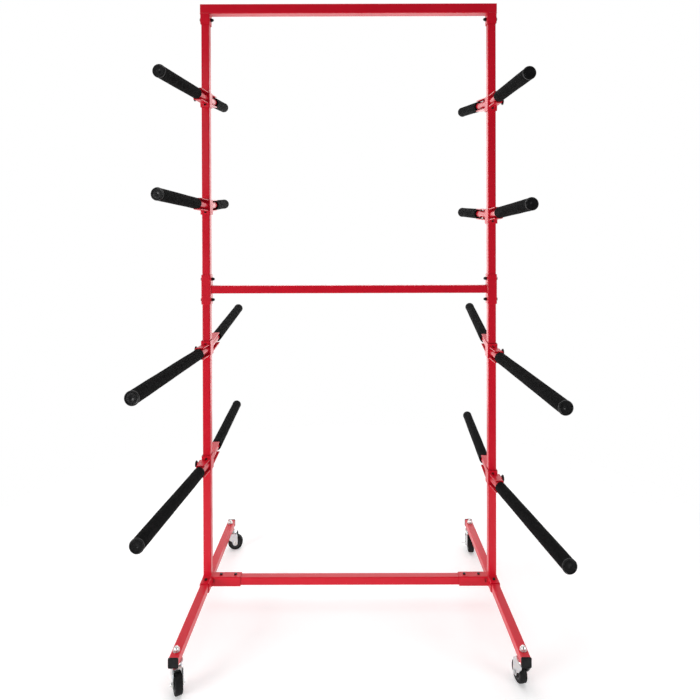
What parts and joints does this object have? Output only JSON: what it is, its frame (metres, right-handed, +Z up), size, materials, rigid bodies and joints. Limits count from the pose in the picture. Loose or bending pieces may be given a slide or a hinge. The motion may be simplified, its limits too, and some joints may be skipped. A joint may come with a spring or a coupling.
{
  "type": "mobile double-sided storage rack",
  "caption": "Free-standing wheeled storage rack of red square tube, with height-adjustable foam-padded arms reaching out to the front and the rear of both posts.",
  "frame": {"origin": "on the floor, at the middle of the rack's footprint box", "axes": "+Z up, +X to the right along the cross bars, -Y towards the front arms"},
  "size_m": [1.0269, 1.0603, 1.922],
  "materials": {
    "red_frame": "gloss red powder coat on square steel tube",
    "red_bracket": "gloss red powder coat on welded steel, with weld beads",
    "foam": "matte black closed-cell foam sleeve with fine pores",
    "arm_plug": "smooth black moulded plug with a raised rim",
    "end_cap": "black moulded square tube plug",
    "clamp_bolt": "black oxide steel set screw, and a round knob moulded on a black oxide screw",
    "frame_bolt": "black oxide steel bolt and closed nut",
    "stem_nut": "bright plated domed nut",
    "caster_steel": "bright zinc-plated pressed steel",
    "axle_steel": "zinc-plated steel axle bolt",
    "brake_steel": "zinc-plated pressed steel lever",
    "wheel": "black rubber tread on a dark moulded hub"
  },
  "bodies": {
    "frame": {"top_bar": "red_frame", "mid_bar": "red_frame", "bottom_bar": "red_frame", "upper_post_left": "red_frame", "upper_post_right": "red_frame", "base_post_left": "red_frame", "base_post_right": "red_frame", "leg_left": "red_frame", "leg_right": "red_frame", "leg_end_caps": "end_cap", "frame_bolts": "frame_bolt", "frame_nuts": "frame_bolt", "caster_stems": "caster_steel", "stem_nuts": "stem_nut"},
    "bracket_left_1": {"bracket_left_1": "red_bracket", "foam_left_1": "foam", "arm_plugs_left_1": "arm_plug", "clamp_bolts_left_1": "clamp_bolt"},
    "bracket_left_2": {"bracket_left_2": "red_bracket", "foam_left_2": "foam", "arm_plugs_left_2": "arm_plug", "clamp_bolts_left_2": "clamp_bolt"},
    "bracket_left_3": {"bracket_left_3": "red_bracket", "foam_left_3": "foam", "arm_plugs_left_3": "arm_plug", "clamp_bolts_left_3": "clamp_bolt"},
    "bracket_left_4": {"bracket_left_4": "red_bracket", "foam_left_4": "foam", "arm_plugs_left_4": "arm_plug", "clamp_bolts_left_4": "clamp_bolt"},
    "bracket_right_1": {"bracket_right_1": "red_bracket", "foam_right_1": "foam", "arm_plugs_right_1": "arm_plug", "clamp_bolts_right_1": "clamp_bolt"},
    "bracket_right_2": {"bracket_right_2": "red_bracket", "foam_right_2": "foam", "arm_plugs_right_2": "arm_plug", "clamp_bolts_right_2": "clamp_bolt"},
    "bracket_right_3": {"bracket_right_3": "red_bracket", "foam_right_3": "foam", "arm_plugs_right_3": "arm_plug", "clamp_bolts_right_3": "clamp_bolt"},
    "bracket_right_4": {"bracket_right_4": "red_bracket", "foam_right_4": "foam", "arm_plugs_right_4": "arm_plug", "clamp_bolts_right_4": "clamp_bolt"},
    "caster_front_left": {"fork_front_left": "caster_steel", "axle_front_left": "axle_steel"},
    "wheel_front_left_body": {"wheel_front_left": "wheel"},
    "caster_front_right": {"fork_front_right": "caster_steel", "axle_front_right": "axle_steel"},
    "wheel_front_right_body": {"wheel_front_right": "wheel"},
    "caster_rear_left": {"fork_rear_left": "caster_steel", "axle_rear_left": "axle_steel"},
    "wheel_rear_left_body": {"wheel_rear_left": "wheel"},
    "caster_rear_right": {"fork_rear_right": "caster_steel", "axle_rear_right": "axle_steel"},
    "wheel_rear_right_body": {"wheel_rear_right": "wheel"},
    "brake": {"brake_lever": "brake_steel", "brake_pin": "brake_steel"}
  },
  "joints": [
    {"name": "height_left_1", "type": "slide", "parent": "frame", "child": "bracket_left_1", "axis": [0, 0, 1], "range_m": [-0.12, 0.18]},
    {"name": "height_left_2", "type": "slide", "parent": "frame", "child": "bracket_left_2", "axis": [0, 0, 1], "range_m": [-0.14, 0.12]},
    {"name": "height_left_3", "type": "slide", "parent": "frame", "child": "bracket_left_3", "axis": [0, 0, 1], "range_m": [-0.12, 0.09]},
    {"name": "height_left_4", "type": "slide", "parent": "frame", "child": "bracket_left_4", "axis": [0, 0, 1], "range_m": [-0.2, 0.12]},
    {"name": "height_right_1", "type": "slide", "parent": "frame", "child": "bracket_right_1", "axis": [0, 0, 1], "range_m": [-0.12, 0.18]},
    {"name": "height_right_2", "type": "slide", "parent": "frame", "child": "bracket_right_2", "axis": [0, 0, 1], "range_m": [-0.14, 0.12]},
    {"name": "height_right_3", "type": "slide", "parent": "frame", "child": "bracket_right_3", "axis": [0, 0, 1], "range_m": [-0.12, 0.09]},
    {"name": "height_right_4", "type": "slide", "parent": "frame", "child": "bracket_right_4", "axis": [0, 0, 1], "range_m": [-0.2, 0.12]},
    {"name": "swivel_front_left", "type": "hinge", "parent": "frame", "child": "caster_front_left", "pos_m": [-0.455, -0.316, 0.064], "axis": [0, 0, 1], "continuous": true},
    {"name": "roll_front_left", "type": "hinge", "parent": "caster_front_left", "child": "wheel_front_left_body", "pos_m": [-0.44592, -0.33382, 0.027], "axis": [0.891, 0.454, 0], "continuous": true},
    {"name": "swivel_front_right", "type": "hinge", "parent": "frame", "child": "caster_front_right", "pos_m": [0.455, -0.316, 0.064], "axis": [0, 0, 1], "continuous": true},
    {"name": "roll_front_right", "type": "hinge", "parent": "caster_front_right", "child": "wheel_front_right_body", "pos_m": [0.45153, -0.2963, 0.027], "axis": [-0.9848, -0.1736, 0], "continuous": true},
    {"name": "swivel_rear_left", "type": "hinge", "parent": "frame", "child": "caster_rear_left", "pos_m": [-0.455, 0.316, 0.064], "axis": [0, 0, 1], "continuous": true},
    {"name": "roll_rear_left", "type": "hinge", "parent": "caster_rear_left", "child": "wheel_rear_left_body", "pos_m": [-0.43508, 0.31774, 0.027], "axis": [-0.0872, 0.9962, 0], "continuous": true},
    {"name": "swivel_rear_right", "type": "hinge", "parent": "frame", "child": "caster_rear_right", "pos_m": [0.455, 0.316, 0.064], "axis": [0, 0, 1], "continuous": true},
    {"name": "roll_rear_right", "type": "hinge", "parent": "caster_rear_right", "child": "wheel_rear_right_body", "pos_m": [0.45326, 0.29608, 0.027], "axis": [0.9962, -0.0872, 0], "continuous": true},
    {"name": "brake_press", "type": "hinge", "parent": "caster_rear_right", "child": "brake", "pos_m": [0.45535, 0.31998, 0.05], "axis": [0.9962, -0.0872, 0], "range_deg": [0, 30]}
  ]
}
